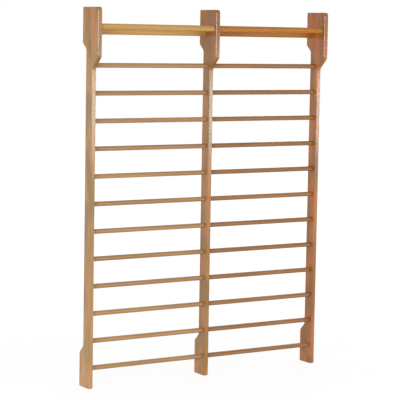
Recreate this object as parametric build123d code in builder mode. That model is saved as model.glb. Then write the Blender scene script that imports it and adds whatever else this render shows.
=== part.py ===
"""Double-section wooden wall bars: three profiled uprights, oval rungs, top bars and their screws.

The origin lies on the floor, under the plane of the rungs, at the middle upright.
+X runs along the rungs to the right, +Y runs back towards the wall and +Z runs up.
"""
import math
import os

from build123d import *

# ---- Driving dimensions, millimetres ----
height = 2500.0  # floor to the top of the uprights
section_pitch = 895.0  # centre to centre of neighbouring uprights
board_thickness = 30.0  # an upright along X
body_depth = 85.0  # an upright along Y, between its foot and its head
wall_gap = 50.0  # foot and head reach this far behind the body, to the wall
head_reach = 76.0  # the head reaches this far in front of the body
edge_break = 2.5  # chamfer round both faces of an upright

# Outline of the head, measured down from the top
head_front_height = 322.0  # straight front of the head
head_front_slope = 72.0  # height of the slope back to the body
head_back_height = 232.0  # straight back of the head
head_back_slope = 42.0
top_front_radius = 22.0
top_back_radius = 4.0
shoulder_radius = 28.0  # outer bends of the head
neck_radius = 32.0  # inner bends, where head and foot run into the body

# Outline of the foot, measured up from the floor
foot_back_height = 228.0
foot_back_slope = 50.0
heel_radius = 16.0  # outer bend of the foot's back
toe_radius = 12.0  # front corner on the floor
sole_back_radius = 7.0  # back corner on the floor

# Rungs
tight_share = 0.75  # end radius of an oval section, as a share of half its height
rung_depth = 40.0  # long axis of the oval, along Y
rung_height = 32.0  # short axis, along Z
lowest_rung = 132.0  # floor to the centre of the first rung
rung_pitch = 181.0
top_clear = 340.0  # no rung's centre is nearer to the top than this

# Top bars, front and rear from the same stock
top_bar_depth = 44.0
top_bar_height = 40.0
front_bar_drop = 126.0  # its centre below the top
front_bar_setback = 35.0  # its centre behind the head's front edge
rear_bar_drop = 158.0
rear_bar_setback = 56.0  # its centre in front of the wall

# Joints
end_wall = 10.0  # wood left outside the blind mortises of the outer uprights
glue_gap = 0.2  # between a bar and its mortise, all round

# Countersunk wood screws clamp the frame from the wall's side, at the lowest rungs and the rear top bars.
# The other bars are glued in, and the blind mortises keep them captive.
shank_radius = 2.25
head_radius = 4.25
countersink_angle = 90.0
head_sink = 0.8  # below the upright's edge
screw_grip = 5.0  # the tip passes the bar's centre by this much
screw_gap = 0.15  # between a screw and its hole
tip_gap = 0.5  # between a screw's tip and the bottom of its hole

# ---- Places that follow from the dimensions ----
body_front = -body_depth / 2
body_back = body_depth / 2
head_front = body_front - head_reach
wall_plane = body_back + wall_gap

rung_count = int((height - top_clear - lowest_rung) / rung_pitch) + 1
rung_levels = [lowest_rung + rung_pitch * step for step in range(rung_count)]
front_bar_place = (head_front + front_bar_setback, height - front_bar_drop)
rear_bar_place = (wall_plane - rear_bar_setback, height - rear_bar_drop)

half_board = board_thickness / 2
inner_face = section_pitch - half_board  # outer upright's face towards the middle
mortise_bottom = section_pitch + half_board - end_wall
uprights = {
    "left": -section_pitch,
    "middle": 0.0,
    "right": section_pitch,
}
sides = {"left": -1, "right": 1}

# Height of a screw's countersunk head
head_taper = (head_radius - shank_radius) / math.tan(math.radians(countersink_angle / 2))

# Screw lines run through the middle of each bar's end
outer_screw_x = (inner_face + mortise_bottom) / 2
middle_screw_x = half_board / 2
screw_x = {
    "left": [-outer_screw_x],
    "middle": [-middle_screw_x, middle_screw_x],
    "right": [outer_screw_x],
}

# Upright outline in the Y-Z plane, each corner with its bend radius
upright_outline = [
    ((body_front, 0), toe_radius),
    ((wall_plane, 0), sole_back_radius),
    ((wall_plane, foot_back_height), heel_radius),
    ((body_back, foot_back_height + foot_back_slope), neck_radius),
    ((body_back, height - head_back_height - head_back_slope), neck_radius),
    ((wall_plane, height - head_back_height), shoulder_radius),
    ((wall_plane, height), top_back_radius),
    ((head_front, height), top_front_radius),
    ((head_front, height - head_front_height), shoulder_radius),
    ((body_front, height - head_front_height - head_front_slope), neck_radius),
]


class Bar:
    """An oval bar: its centre in the Y-Z plane, its section, and whether screws hold it."""

    def __init__(self, place, depth, tall, has_screws=False):
        self.place = place
        self.depth = depth
        self.tall = tall
        self.has_screws = has_screws
        self.screw_length = wall_plane - head_sink - place[0] + screw_grip

    def screw_planes(self, places_x):
        """One plane at each screw head's top, facing the wall."""
        return [
            Plane(origin=(x, wall_plane - head_sink, self.place[1]), x_dir=(1, 0, 0), z_dir=(0, 1, 0))
            for x in places_x
        ]


rungs = [
    Bar((0.0, level), rung_depth, rung_height, has_screws=level == lowest_rung)
    for level in rung_levels
]
front_bar = Bar(front_bar_place, top_bar_depth, top_bar_height)
rear_bar = Bar(rear_bar_place, top_bar_depth, top_bar_height, has_screws=True)
all_bars = rungs + [front_bar, rear_bar]
screwed_bars = [bar for bar in all_bars if bar.has_screws]


def write(part, label):
    """Label a finished piece and write it to its own file."""
    part.label = label
    export_step(part, f"parts/{label}.step")


def oval_section(bar, grow=0.0):
    """A bar's section, y by z: two broad arcs that meet in two tight ones, all of them tangent."""
    half_depth, half_height = bar.depth / 2, bar.tall / 2
    tight = tight_share * half_height
    reach = half_depth - tight  # centre of a tight arc, from the bar's axis
    broad = (reach**2 + half_height**2 - tight**2) / (2 * (half_height - tight))
    with BuildSketch() as section:
        with Locations((0, half_height - broad)):
            Circle(broad + grow)
        with Locations((0, broad - half_height)):
            Circle(broad + grow, mode=Mode.INTERSECT)
        fillet(section.vertices(), radius=tight + grow)
    return section.sketch


os.makedirs("parts", exist_ok=True)

# ---- Uprights: one profiled board each, with oval mortises and screw holes ----
corners = [corner for corner, bend in upright_outline]
bends = [bend for corner, bend in upright_outline]

for place_name, centre_x in uprights.items():
    with BuildPart() as upright:
        with BuildSketch(Plane.YZ.offset(centre_x)):
            with BuildLine():
                FilletPolyline(*corners, radius=bends, close=True)
            make_face()
        extrude(amount=half_board, both=True)
        chamfer(upright.faces().filter_by(Axis.X).edges(), length=edge_break)

        # Blind mortises face the middle; the middle upright is mortised right through
        if place_name == "middle":
            mortise_from, mortise_depth = -half_board, board_thickness
        else:
            side = sides[place_name]
            mortise_from, mortise_depth = side * inner_face, side * (mortise_bottom - inner_face)
        with BuildSketch(Plane.YZ.offset(mortise_from)):
            for bar in all_bars:
                with Locations(bar.place):
                    add(oval_section(bar, grow=glue_gap))
        extrude(amount=mortise_depth, mode=Mode.SUBTRACT)

        for bar in screwed_bars:
            with Locations(*bar.screw_planes(screw_x[place_name])):
                CounterSinkHole(
                    radius=shank_radius + screw_gap,
                    counter_sink_radius=head_radius + screw_gap,
                    depth=bar.screw_length + tip_gap,
                    counter_sink_angle=countersink_angle,
                )
    write(upright.part, f"upright_{place_name}")


def write_bar(bar, side_name, label):
    """An oval bar from the middle of the middle upright to the bottom of the outer mortise."""
    side = sides[side_name]
    with BuildPart() as piece:
        with BuildSketch(Plane.YZ):
            with Locations(bar.place):
                add(oval_section(bar))
        extrude(amount=side * mortise_bottom)
        if bar.has_screws:
            with Locations(*bar.screw_planes([side * middle_screw_x, side * outer_screw_x])):
                Hole(radius=shank_radius + screw_gap, depth=bar.screw_length + tip_gap)
    write(piece.part, label)


# ---- Rungs and top bars, one of each on both sides of the middle upright ----
for side_name in sides:
    for number, rung in enumerate(rungs, start=1):
        write_bar(rung, side_name, f"rung_{side_name}_{number:02d}")
    write_bar(front_bar, side_name, f"front_bar_{side_name}")
    write_bar(rear_bar, side_name, f"rear_bar_{side_name}")


# ---- Screws: one group of like ones at the foot and one at the head ----
every_screw_x = screw_x["left"] + screw_x["middle"] + screw_x["right"]
for label, bar in {"foot_screws": rungs[0], "head_screws": rear_bar}.items():
    with BuildPart() as screws:
        with Locations(*bar.screw_planes(every_screw_x)):
            Cone(
                bottom_radius=shank_radius,
                top_radius=head_radius,
                height=head_taper,
                align=(Align.CENTER, Align.CENTER, Align.MAX),
            )
            Cylinder(
                radius=shank_radius,
                height=bar.screw_length,
                align=(Align.CENTER, Align.CENTER, Align.MAX),
            )
    write(screws.part, label)
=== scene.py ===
"""Looks for a double section of wall bars, in lacquered pine, lacquered beech and zinc-plated steel.

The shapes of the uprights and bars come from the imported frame. This script gives them their wood and
lacquer, models the screws with their cross recesses, and sets the floor, the lights and the camera.
"""

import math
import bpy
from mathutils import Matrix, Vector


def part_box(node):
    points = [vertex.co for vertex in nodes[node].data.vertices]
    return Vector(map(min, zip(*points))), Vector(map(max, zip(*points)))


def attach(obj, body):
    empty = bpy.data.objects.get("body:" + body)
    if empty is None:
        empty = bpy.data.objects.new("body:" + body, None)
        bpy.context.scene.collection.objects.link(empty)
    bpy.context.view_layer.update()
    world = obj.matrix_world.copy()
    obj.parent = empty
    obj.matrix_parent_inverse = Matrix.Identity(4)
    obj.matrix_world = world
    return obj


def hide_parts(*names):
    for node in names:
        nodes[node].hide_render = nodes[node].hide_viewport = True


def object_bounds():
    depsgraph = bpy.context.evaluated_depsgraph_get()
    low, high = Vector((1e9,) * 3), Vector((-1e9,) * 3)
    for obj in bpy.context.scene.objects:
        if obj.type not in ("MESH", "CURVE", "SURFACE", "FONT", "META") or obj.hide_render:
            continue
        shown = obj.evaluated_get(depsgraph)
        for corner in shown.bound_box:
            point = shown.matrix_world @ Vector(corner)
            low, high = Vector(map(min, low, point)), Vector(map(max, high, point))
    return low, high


bl_info = {
    "name": "Wall Bars Looks",
    "version": (1, 0, 0),
    "blender": (4, 5, 0),
    "location": "3D View > Sidebar > Wall Bars",
    "description": "Lacquered wood, screws and a plain studio for a double section of wall bars",
    "category": "Object",
}

import bmesh
import bpy
from mathutils import Matrix, Vector

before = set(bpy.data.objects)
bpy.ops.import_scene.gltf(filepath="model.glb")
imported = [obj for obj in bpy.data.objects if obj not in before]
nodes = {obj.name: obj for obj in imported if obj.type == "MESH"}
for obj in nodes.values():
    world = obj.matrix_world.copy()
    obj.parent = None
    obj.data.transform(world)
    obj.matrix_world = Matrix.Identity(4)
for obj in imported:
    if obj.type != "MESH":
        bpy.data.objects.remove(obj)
cad_low, cad_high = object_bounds()

BODY = "root"
MM = 0.001

# A wave texture at scale 1 repeats every pi / 10 metres
WAVE_PERIOD = math.pi / 10

UPRIGHTS = ("left", "middle", "right")
SCREW_GROUPS = ("foot_screws", "head_screws")

# Screws: the shank's radius as a share of the head's, and how many corners a ring has
SHANK_SHARE = 0.53
RING_CORNERS = 32

# How each board was cut. "from_heart" places it in its log, in metres from the heart, and "lean" leans
# it there, in radians, both apart from the log's waver and stretch. "body" is the tint of the wood
# above its paler foot, and "head" a tint that makes the wood darker and warmer towards the top. White
# leaves the wood as it is.
CUTS = {
    "left": {"from_heart": (0.045, -0.020, 0.40), "lean": 0.30, "body": "#E6E4E2", "head": "#FFE7BD"},
    "middle": {"from_heart": (-0.057, -0.008, 0.31), "lean": 0.37, "body": "#E8F1F1", "head": "#E8CBA4"},
    "right": {"from_heart": (0.069, 0.004, 2.32), "lean": 0.44, "body": "#FFFFFF", "head": "#F3E7D8"},
}


# ---- Colours and nodes ----


def linear(hex_colour):
    """An sRGB hex colour as the linear RGBA that shader sockets take."""
    parts = [int(hex_colour[i : i + 2], 16) / 255 for i in (1, 3, 5)]
    return tuple(
        part / 12.92 if part <= 0.04045 else ((part + 0.055) / 1.055) ** 2.4 for part in parts
    ) + (1.0,)


def add(tree, kind, settings=None, **sockets):
    """Add a node. Each socket, by its name or as in_NUMBER, gets a value or another node's output."""
    node = tree.nodes.new(kind)
    for name, value in (settings or {}).items():
        setattr(node, name, value)
    for name, value in sockets.items():
        key = int(name[3:]) if name.startswith("in_") else name.replace("_", " ")
        if isinstance(value, bpy.types.NodeSocket):
            tree.links.new(value, node.inputs[key])
        else:
            node.inputs[key].default_value = value
    return node


def new_material(name):
    """An empty node material and its tree."""
    material = bpy.data.materials.new(name)
    material.use_nodes = True
    material.node_tree.nodes.clear()
    return material, material.node_tree


def paint(node, material):
    """Give a CAD node its material, in the slots that it came with or else in a new one."""
    if not node.material_slots:
        node.data.materials.append(material)
    for slot in node.material_slots:
        slot.material = material


# ---- Settings that a user would change ----


def colour_property(label, note, hex_colour):
    """A colour setting whose default is an sRGB hex value."""
    return bpy.props.FloatVectorProperty(
        name=label, description=note, subtype="COLOR", size=4, min=0, max=1,
        default=linear(hex_colour),
    )


def length_property(label, note, default_mm):
    """A length setting, shown in the scene's units, with its default in millimetres."""
    return bpy.props.FloatProperty(
        name=label, description=note, unit="LENGTH", min=0.0001, precision=4,
        default=default_mm * MM,
    )


def share_property(label, note, default):
    """A strength between none and full."""
    return bpy.props.FloatProperty(
        name=label, description=note, subtype="FACTOR", min=0, max=1, default=default
    )


def angle_property(label, note, degrees):
    """An angle setting with its default in degrees."""
    return bpy.props.FloatProperty(
        name=label, description=note, subtype="ANGLE", default=math.radians(degrees)
    )


def power_property(label, note, watts):
    """The power of a lamp, in watts."""
    return bpy.props.FloatProperty(
        name=label, description=note, unit="POWER", min=0, default=watts
    )


class WallBarsBoards(bpy.types.PropertyGroup):
    """Finish of the three uprights."""

    left: colour_property("Left board", "Colour of the left upright's wood", "#CA9A62")
    middle: colour_property("Middle board", "Colour of the middle upright's wood", "#C48650")
    right: colour_property("Right board", "Colour of the right upright's wood", "#B9753E")
    ring_spacing: length_property("Ring spacing", "Distance between two growth rings", 24)
    ring_contrast: share_property("Ring contrast", "Strength of the dark late wood", 0.5)
    streak_width: length_property("Streak width", "Width of the olive and orange streaks", 75)
    streak_length: length_property("Streak length", "Length of those streaks along the board", 230)
    fibre_width: length_property("Fibre width", "Width of the fibres", 1.4)


class WallBarsBars(bpy.types.PropertyGroup):
    """Finish of the rungs and top bars."""

    left: colour_property("Left rungs", "Colour of the left section's rungs", "#BE9365")
    right: colour_property("Right rungs", "Colour of the right section's rungs", "#AA7A4E")
    top_left: colour_property("Left top bars", "Colour of the left section's top bars", "#D2A25C")
    top_right: colour_property("Right top bars", "Colour of the right section's top bars", "#BE7A2C")
    fleck_length: length_property("Fleck length", "Length of the wood's small dark flecks", 9)
    fleck_width: length_property("Fleck width", "Width of those flecks", 1.6)
    streak_width: length_property("Streak width", "Width of the long streaks", 9)
    streak_length: length_property("Streak length", "Length of the long streaks", 380)


class WallBarsScrews(bpy.types.PropertyGroup):
    """Finish and drive of the screws."""

    zinc: colour_property("Zinc", "Colour of the zinc plating", "#C3C6C4")
    recess_reach: length_property("Recess reach", "From the screw's axis to a cross arm's end", 2.5)
    recess_width: length_property("Recess width", "Width of a cross arm", 1.2)
    recess_depth: length_property("Recess depth", "Depth of the cross recess", 1.6)


class WallBarsStage(bpy.types.PropertyGroup):
    """Floor, lights and camera."""

    floor: colour_property("Floor", "Colour of the floor", "#FDFDFD")
    ambient: bpy.props.FloatProperty(
        name="Ambient", description="Strength of the light all round", min=0, default=0.57
    )
    key_power: power_property("Key", "Power of the light at the front right", 205)
    fill_power: power_property("Fill", "Power of the light at the front left", 230)
    back_power: power_property("Back", "Power of the light behind", 150)
    distance: length_property("Distance", "From the camera to the point it aims at", 10810)
    bearing: angle_property("Bearing", "Camera's turn to the left of straight ahead", 31.883)
    look_down: angle_property("Look down", "Camera's tilt below the level", 5.158)
    roll: angle_property("Roll", "Camera's lean", 0.993)
    aim_height: length_property("Aim height", "Aim point above the floor", 1367)
    aim_back: bpy.props.FloatProperty(
        name="Aim depth", description="Aim point behind the plane of the rungs",
        unit="LENGTH", default=81.8 * MM,
    )
    lens: bpy.props.FloatProperty(
        name="Lens", description="Focal length", unit="CAMERA", default=141.87
    )
    shift: bpy.props.FloatProperty(
        name="Shift", description="Upward shift of the view, as a share of its width", default=-0.06
    )


# ---- Materials ----


def long_grain(tree, place, width, length, axis, offset=(0.0, 0.0, 0.0), detail=2.0, output="Fac"):
    """Noise drawn out along the wood: its blobs are width across and length along the axis."""
    scale = [1 / width] * 3
    scale["XYZ".index(axis)] = 1 / length
    squeezed = add(tree, "ShaderNodeMapping", Vector=place, Location=offset, Scale=scale).outputs[0]
    return add(tree, "ShaderNodeTexNoise", Vector=squeezed, Scale=1.0, Detail=detail).outputs[output]


def stain(tree, wood, pattern, low, high, tint, share=1.0):
    """Tint a colour where a pattern runs from low to high, by a share of the tint at most."""
    amount = add(
        tree, "ShaderNodeMapRange", {"interpolation_type": "SMOOTHSTEP"}, Value=pattern,
        From_Min=low, From_Max=high, To_Max=share,
    ).outputs[0]
    return add(
        tree, "ShaderNodeMix", {"data_type": "RGBA", "blend_type": "MULTIPLY"},
        in_0=amount, in_6=wood, in_7=linear(tint),
    ).outputs[2]


def lacquered(tree, colour, pattern, bump_depth, roughness, coat, coat_roughness):
    """Wood under clear satin lacquer, with soft highlights over the wood's own colour.

    Lacquer fills most of the grain. A pattern gives the surface its small rises, and moves its
    roughness between two values.
    """
    bump = add(tree, "ShaderNodeBump", Strength=0.5, Distance=bump_depth, Height=pattern).outputs[0]
    sheen = add(
        tree, "ShaderNodeMapRange", Value=pattern, From_Min=0.2, From_Max=0.8,
        To_Min=roughness[0], To_Max=roughness[1],
    ).outputs[0]
    shader = add(
        tree, "ShaderNodeBsdfPrincipled", Base_Color=colour, Roughness=sheen, Normal=bump,
        IOR=1.5, Specular_IOR_Level=0.2, Coat_Weight=coat, Coat_Roughness=coat_roughness, Coat_IOR=1.5,
    )
    add(tree, "ShaderNodeOutputMaterial", Surface=shader.outputs[0])


def planed_pine(name, colour, settings, cut, centre):
    """Planed pine under clear lacquer.

    Pine shows wide pale early wood and narrow dark late wood, in arches where the saw ran past the
    heart of the log. Rings are 3 to 5 mm apart in a real board, and its fibres are much finer than a
    millimetre. Both are drawn wider here, so that they still show from across a room. Broad streaks run
    from olive brown to orange, as the heartwood comes and goes, and the fibres lie between them. Sawn
    end grain drinks the lacquer and turns darker.
    """
    material, tree = new_material(name)
    place = add(tree, "ShaderNodeTexCoord").outputs["Object"]
    offset = Vector(cut["from_heart"]) - Vector((centre.x, 0, 0))

    streaks = long_grain(
        tree, place, settings.streak_width, settings.streak_length, "Z", offset, detail=0.5
    )
    wood = stain(tree, colour, streaks, 0.62, 0.38, "#DAE7D6")

    # The log wavers as it grew, and its rings are drawn out along the board into long arches
    waver_width, waver_length = 140 * MM, 330 * MM
    sway = (80 * MM, 200 * MM, 0.0)
    stretch = 12.5
    waver = long_grain(tree, place, waver_width, waver_length, "Z", offset, output="Color")
    bent = add(
        tree, "ShaderNodeVectorMath", {"operation": "MULTIPLY_ADD"}, in_0=waver, in_1=sway, in_2=place
    ).outputs[0]
    log = add(
        tree, "ShaderNodeMapping", Vector=bent, Location=offset,
        Rotation=(cut["lean"], 0, 0), Scale=(1, 1, 1 / stretch),
    ).outputs[0]
    rings = add(
        tree, "ShaderNodeTexWave",
        {"wave_type": "RINGS", "rings_direction": "Z", "wave_profile": "SAW"},
        Vector=log, Scale=WAVE_PERIOD / settings.ring_spacing,
        Distortion=1.5, Detail=2.0, Detail_Scale=0.5,
    ).outputs["Fac"]
    wood = stain(tree, wood, rings, 0.35, 1.0, "#EBD4C0", settings.ring_contrast)

    # The wood is paler at the foot, and turns darker and warmer towards the head
    level = add(tree, "ShaderNodeSeparateXYZ", in_0=place).outputs["Z"]
    foot_fade = (cad_low.z + 150 * MM, cad_low.z + 700 * MM)
    head_fade = (cad_high.z - 500 * MM, cad_high.z - 50 * MM)
    wood = stain(tree, wood, level, *foot_fade, cut["body"])
    wood = stain(tree, wood, level, *head_fade, cut["head"])

    fibre_length = 60 * MM
    fibres = long_grain(tree, place, settings.fibre_width, fibre_length, "Z", offset)
    wood = stain(tree, wood, fibres, 0.35, 0.75, "#DACCBC", 0.35)

    # End grain faces up and down, and is darker
    normal = add(tree, "ShaderNodeNewGeometry").outputs["True Normal"]
    upward = add(tree, "ShaderNodeSeparateXYZ", in_0=normal).outputs["Z"]
    endwise = add(tree, "ShaderNodeMath", {"operation": "ABSOLUTE"}, in_0=upward).outputs[0]
    wood = stain(tree, wood, endwise, 0.35, 0.95, "#DACCBC", 0.8)

    lacquered(
        tree, wood, fibres, bump_depth=0.15 * MM, roughness=(0.34, 0.5),
        coat=0.5, coat_roughness=0.15,
    )
    return material


def lacquered_beech(name, colour, settings):
    """Steamed beech, shaped to an oval and sanded smooth under clear lacquer.

    Beech is close and even, a warm pinkish tan, with faint long streaks and short dark flecks. Flecks
    are 1 to 3 mm long in real beech and are drawn longer here, so that they still show. Every bar is
    sawn from other stock, so each is a little lighter or darker than the next.
    """
    material, tree = new_material(name)
    place = add(tree, "ShaderNodeTexCoord").outputs["Object"]
    stock = add(tree, "ShaderNodeObjectInfo").outputs["Random"]
    streaks = long_grain(tree, place, settings.streak_width, settings.streak_length, "X")
    flecks = long_grain(tree, place, settings.fleck_width, settings.fleck_length, "X")
    wood = stain(tree, colour, streaks, 0.7, 0.3, "#E4E2DE")
    wood = stain(tree, wood, flecks, 0.58, 0.72, "#CEB49C", 0.4)
    wood = stain(tree, wood, stock, 0.0, 1.0, "#F1F0EF")
    lacquered(
        tree, wood, streaks, bump_depth=0.08 * MM, roughness=(0.5, 0.65),
        coat=0.2, coat_roughness=0.3,
    )
    return material


def zinc_plated_steel(settings):
    """Blue-passivated zinc on steel: a grey metal with a soft cloudy sheen."""
    material, tree = new_material("zinc_plated_steel")
    place = add(tree, "ShaderNodeTexCoord").outputs["Object"]
    cloud_width = 1.5 * MM
    clouds = add(
        tree, "ShaderNodeTexNoise", Vector=place, Scale=1 / cloud_width, Detail=2.0
    ).outputs[0]
    zinc = stain(tree, tuple(settings.zinc), clouds, 0.3, 0.7, "#E6E6E8")
    sheen = add(
        tree, "ShaderNodeMapRange", Value=clouds, From_Min=0.3, From_Max=0.7,
        To_Min=0.26, To_Max=0.42,
    ).outputs[0]
    shader = add(tree, "ShaderNodeBsdfPrincipled", Base_Color=zinc, Metallic=1.0, Roughness=sheen)
    add(tree, "ShaderNodeOutputMaterial", Surface=shader.outputs[0])
    return material


# ---- Operators ----


class WALLBARS_OT_uprights(bpy.types.Operator):
    """Finish the three uprights in lacquered pine, each board with its own colour and grain"""

    bl_idname = "wallbars.uprights"
    bl_label = "Uprights"

    def execute(self, context):
        boards = context.scene.wallbars_boards
        colours = {"left": boards.left, "middle": boards.middle, "right": boards.right}
        for name in UPRIGHTS:
            board = nodes["upright_" + name]
            low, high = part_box(board.name)
            centre = (low + high) / 2
            colour = tuple(colours[name])
            paint(board, planed_pine("planed_pine_" + name, colour, boards, CUTS[name], centre))
        return {"FINISHED"}


class WALLBARS_OT_rungs(bpy.types.Operator):
    """Finish the rungs of both sections in lacquered beech"""

    bl_idname = "wallbars.rungs"
    bl_label = "Rungs"

    def execute(self, context):
        bars = context.scene.wallbars_bars
        for side, colour in (("left", bars.left), ("right", bars.right)):
            beech = lacquered_beech("lacquered_beech_" + side, tuple(colour), bars)
            for name, node in nodes.items():
                if name.startswith(f"rung_{side}_"):
                    paint(node, beech)
        return {"FINISHED"}


class WALLBARS_OT_top_bars(bpy.types.Operator):
    """Finish the front and rear top bars in lacquered beech"""

    bl_idname = "wallbars.top_bars"
    bl_label = "Top Bars"

    def execute(self, context):
        bars = context.scene.wallbars_bars
        for side, colour in (("left", bars.top_left), ("right", bars.top_right)):
            beech = lacquered_beech("lacquered_beech_top_" + side, tuple(colour), bars)
            for row in ("front", "rear"):
                paint(nodes[f"{row}_bar_{side}"], beech)
        return {"FINISHED"}


def screw_boxes(node):
    """The lowest and highest corner of each screw in a CAD group."""
    same_point = 0.01 * MM
    mesh = bmesh.new()
    mesh.from_mesh(node.data)
    bmesh.ops.remove_doubles(mesh, verts=mesh.verts, dist=same_point)
    waiting = set(mesh.verts)
    boxes = []
    while waiting:
        found, reached = [], [waiting.pop()]
        while reached:
            vertex = reached.pop()
            found.append(vertex.co.copy())
            for edge in vertex.link_edges:
                other = edge.other_vert(vertex)
                if other in waiting:
                    waiting.remove(other)
                    reached.append(other)
        low = Vector(min(point[i] for point in found) for i in range(3))
        high = Vector(max(point[i] for point in found) for i in range(3))
        boxes.append((low, high))
    mesh.free()
    return sorted(boxes, key=lambda box: tuple(box[0]))


def screw_rings(length, head, shank, taper, settings):
    """Each ring of a countersunk screw, from the recess's bottom out and down to the tip.

    A ring is a cross with a reach, half the width of its arms and a depth below the top of the head.
    One whose arms are as wide as they are long is round.
    """
    reach, half_arm, depth = settings.recess_reach, settings.recess_width / 2, settings.recess_depth
    rim = 0.25 * MM  # width of the head's rounded edge
    tip = 4 * MM  # length of the shank's tapered end
    return [
        # The recess: a small bottom, sloping sides and an eased mouth
        (0.3 * reach, 0.5 * half_arm, depth),
        (0.6 * reach, 0.8 * half_arm, 0.8 * depth),
        (0.96 * reach, half_arm, 0.1 * depth),
        (reach, 1.1 * half_arm, 0.0),
        # The head: its flat top and its rounded edge
        (head - rim, head - rim, 0.0),
        (head, head, 0.6 * rim),
        (head - 0.5 * rim, head - 0.5 * rim, 1.4 * rim),
        # The shank, from the foot of the cone to the tip
        (shank, shank, taper),
        (shank, shank, length - tip),
        (0.2 * shank, 0.2 * shank, length),
    ]


def add_screw(mesh, top, rings):
    """One screw with the middle of its head at a point, facing along +Y."""
    loops = []
    for reach, half_arm, depth in rings:
        loop = []
        for step in range(RING_CORNERS):
            turn = math.tau * step / RING_CORNERS
            # A cross is straight along the sides of its arms and round at their ends
            from_arm = abs((turn + math.pi / 4) % (math.pi / 2) - math.pi / 4)
            radius = half_arm / max(math.sin(from_arm), half_arm / reach)
            offset = Vector((radius * math.cos(turn), -depth, radius * math.sin(turn)))
            loop.append(mesh.verts.new(top + offset))
        loops.append(loop)
    for first, second in zip(loops, loops[1:]):
        for step in range(RING_CORNERS):
            after = (step + 1) % RING_CORNERS
            mesh.faces.new((first[step], first[after], second[after], second[step]))
    mesh.faces.new(loops[0])
    mesh.faces.new(loops[-1])


class WALLBARS_OT_screws(bpy.types.Operator):
    """Model the countersunk screws with cross recesses, in place of each plain group"""

    bl_idname = "wallbars.screws"
    bl_label = "Screws"

    def execute(self, context):
        settings = context.scene.wallbars_screws
        steel = zinc_plated_steel(settings)
        for group in SCREW_GROUPS:
            mesh = bmesh.new()
            for low, high in screw_boxes(nodes[group]):
                centre = (low + high) / 2
                head = (high.x - low.x) / 2
                shank = head * SHANK_SHARE
                taper = head - shank  # the cone's height, as its sides slope at 45 degrees
                top = Vector((centre.x, high.y, centre.z))
                add_screw(mesh, top, screw_rings(high.y - low.y, head, shank, taper, settings))
            bmesh.ops.recalc_face_normals(mesh, faces=mesh.faces)
            data = bpy.data.meshes.new(group + "_mesh")
            mesh.to_mesh(data)
            mesh.free()
            piece = bpy.data.objects.new("cross_head_" + group, data)
            context.scene.collection.objects.link(piece)
            data.materials.append(steel)
            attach(piece, BODY)
            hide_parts(group)
        return {"FINISHED"}


def area_light(name, target, power, place, width, height):
    """A broad soft white light that looks at a point."""
    data = bpy.data.lights.new(name, "AREA")
    data.shape = "RECTANGLE"
    data.size = width
    data.size_y = height
    data.energy = power
    light = bpy.data.objects.new(name, data)
    light.location = place
    light.rotation_euler = (Vector(target) - Vector(place)).to_track_quat("-Z", "Y").to_euler()
    bpy.context.scene.collection.objects.link(light)


def seen_rays(tree):
    """1 for rays that show the background itself: from the camera, off gloss or through glass."""
    path = add(tree, "ShaderNodeLightPath")
    seen = add(
        tree, "ShaderNodeMath", {"operation": "MAXIMUM"},
        in_0=path.outputs["Is Camera Ray"], in_1=path.outputs["Is Glossy Ray"],
    ).outputs[0]
    return add(
        tree, "ShaderNodeMath", {"operation": "MAXIMUM"},
        in_0=seen, in_1=path.outputs["Is Transmission Ray"],
    ).outputs[0]


def matt_floor_paint(settings):
    """Matt white floor paint: pale and even, it shows a faint soft shadow and no gloss.

    Where it is seen, the paint is mixed with a plain white glow, and far off it is all glow, so that
    the floor runs into the surroundings without an edge. Nearer, some paint is left to hold the shadow.
    """
    near, far = 1.5, 5.0  # metres from the part's middle
    glow_near, glow_far = 0.82, 1.0
    glow_strength = 1.06
    material, tree = new_material("matt_floor_paint")
    matt = add(tree, "ShaderNodeBsdfDiffuse", Color=tuple(settings.floor))
    glow = add(tree, "ShaderNodeEmission", Color=linear("#FFFFFF"), Strength=glow_strength)
    place = add(tree, "ShaderNodeTexCoord").outputs["Object"]
    reach = add(tree, "ShaderNodeVectorMath", {"operation": "LENGTH"}, in_0=place).outputs["Value"]
    plain = add(
        tree, "ShaderNodeMapRange", {"interpolation_type": "SMOOTHSTEP"}, Value=reach,
        From_Min=near, From_Max=far, To_Min=glow_near, To_Max=glow_far,
    ).outputs[0]
    share = add(
        tree, "ShaderNodeMath", {"operation": "MULTIPLY"}, in_0=seen_rays(tree), in_1=plain
    ).outputs[0]
    both = add(
        tree, "ShaderNodeMixShader", in_0=share, in_1=matt.outputs[0], in_2=glow.outputs[0]
    )
    add(tree, "ShaderNodeOutputMaterial", Surface=both.outputs[0])
    return material


def add_floor(scene, settings):
    """A wide floor, just under the feet."""
    half, gap = 20.0, 0.5 * MM
    level = cad_low.z - gap
    corners = [(-half, -half, level), (half, -half, level), (half, half, level), (-half, half, level)]
    data = bpy.data.meshes.new("floor_mesh")
    data.from_pydata(corners, [], [(0, 1, 2, 3)])
    floor = bpy.data.objects.new("floor", data)
    data.materials.append(matt_floor_paint(settings))
    scene.collection.objects.link(floor)


def add_surroundings(scene, settings):
    """White all round where they are seen, and a softer light where they only give light."""
    world = bpy.data.worlds.new("white_surroundings")
    world.use_nodes = True
    tree = world.node_tree
    tree.nodes.clear()
    white = linear("#FFFFFF")
    lighting = add(tree, "ShaderNodeBackground", Color=white, Strength=settings.ambient)
    backdrop = add(tree, "ShaderNodeBackground", Color=white, Strength=1.0)
    both = add(
        tree, "ShaderNodeMixShader",
        in_0=seen_rays(tree), in_1=lighting.outputs[0], in_2=backdrop.outputs[0],
    )
    add(tree, "ShaderNodeOutputWorld", Surface=both.outputs[0])
    scene.world = world


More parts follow.
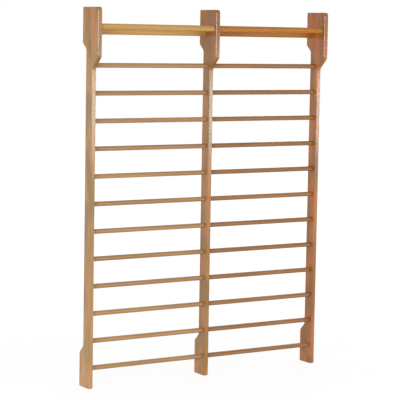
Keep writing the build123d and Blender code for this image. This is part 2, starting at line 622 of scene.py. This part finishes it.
def add_camera(scene, settings, middle):
    """A camera at a distance from its aim point, turned, tilted and leaned as the settings say."""
    lens = bpy.data.cameras.new("camera")
    lens.lens = settings.lens
    lens.sensor_width = 36.0
    lens.shift_y = settings.shift
    lens.clip_end = 200.0
    camera = bpy.data.objects.new("camera", lens)
    turn = (
        Matrix.Rotation(-settings.bearing, 3, "Z")
        @ Matrix.Rotation(math.pi / 2 - settings.look_down, 3, "X")
        @ Matrix.Rotation(settings.roll, 3, "Z")
    )
    aim = Vector((middle.x, settings.aim_back, cad_low.z + settings.aim_height))
    camera.location = aim + turn @ Vector((0, 0, settings.distance))
    camera.rotation_euler = turn.to_euler()
    scene.collection.objects.link(camera)
    scene.camera = camera


class WALLBARS_OT_stage(bpy.types.Operator):
    """Set the pale floor, the soft lights, the white surroundings and the camera"""

    bl_idname = "wallbars.stage"
    bl_label = "Studio"

    def execute(self, context):
        scene = context.scene
        settings = scene.wallbars_stage
        middle = (cad_low + cad_high) / 2
        add_floor(scene, settings)

        # Two wide low lamps stand in front, at the right and at the left, and a square one behind
        area_light(
            "key_light", middle, settings.key_power, place=(4.4, -7.7, 1.42), width=4.4, height=0.85
        )
        area_light(
            "fill_light", middle, settings.fill_power, place=(-7.0, -4.7, 2.35), width=3.2, height=0.8
        )
        area_light(
            "back_light", middle, settings.back_power, place=(6.0, 6.0, 3.0), width=3.0, height=3.0
        )

        add_surroundings(scene, settings)
        add_camera(scene, settings, middle)
        scene.view_settings.view_transform = "Standard"
        return {"FINISHED"}


# ---- Panel and registration ----


class WALLBARS_PT_looks(bpy.types.Panel):
    """Everything this add-on makes, in the order in which it is made"""

    bl_label = "Wall Bars"
    bl_idname = "WALLBARS_PT_looks"
    bl_space_type = "VIEW_3D"
    bl_region_type = "UI"
    bl_category = "Wall Bars"

    def draw(self, context):
        column = self.layout.column()
        for operator in OPERATORS:
            column.operator(operator.bl_idname)
        for name in SETTINGS:
            group = getattr(context.scene, name)
            box = self.layout.box()
            for key in group.__annotations__:
                box.prop(group, key)


OPERATORS = (
    WALLBARS_OT_uprights,
    WALLBARS_OT_rungs,
    WALLBARS_OT_top_bars,
    WALLBARS_OT_screws,
    WALLBARS_OT_stage,
)
SETTINGS = {
    "wallbars_boards": WallBarsBoards,
    "wallbars_bars": WallBarsBars,
    "wallbars_screws": WallBarsScrews,
    "wallbars_stage": WallBarsStage,
}


def register():
    """Register the settings, the operators and the panel."""
    for name, group in SETTINGS.items():
        bpy.utils.register_class(group)
        setattr(bpy.types.Scene, name, bpy.props.PointerProperty(type=group))
    for operator in OPERATORS:
        bpy.utils.register_class(operator)
    bpy.utils.register_class(WALLBARS_PT_looks)


def unregister():
    """Remove the panel, the operators and the settings."""
    bpy.utils.unregister_class(WALLBARS_PT_looks)
    for operator in reversed(OPERATORS):
        bpy.utils.unregister_class(operator)
    for name, group in reversed(SETTINGS.items()):
        delattr(bpy.types.Scene, name)
        bpy.utils.unregister_class(group)


def main():
    """Make every piece in order."""
    register()
    bpy.ops.wallbars.uprights()
    bpy.ops.wallbars.rungs()
    bpy.ops.wallbars.top_bars()
    bpy.ops.wallbars.screws()
    bpy.ops.wallbars.stage()


if __name__ == "__main__":
    main()
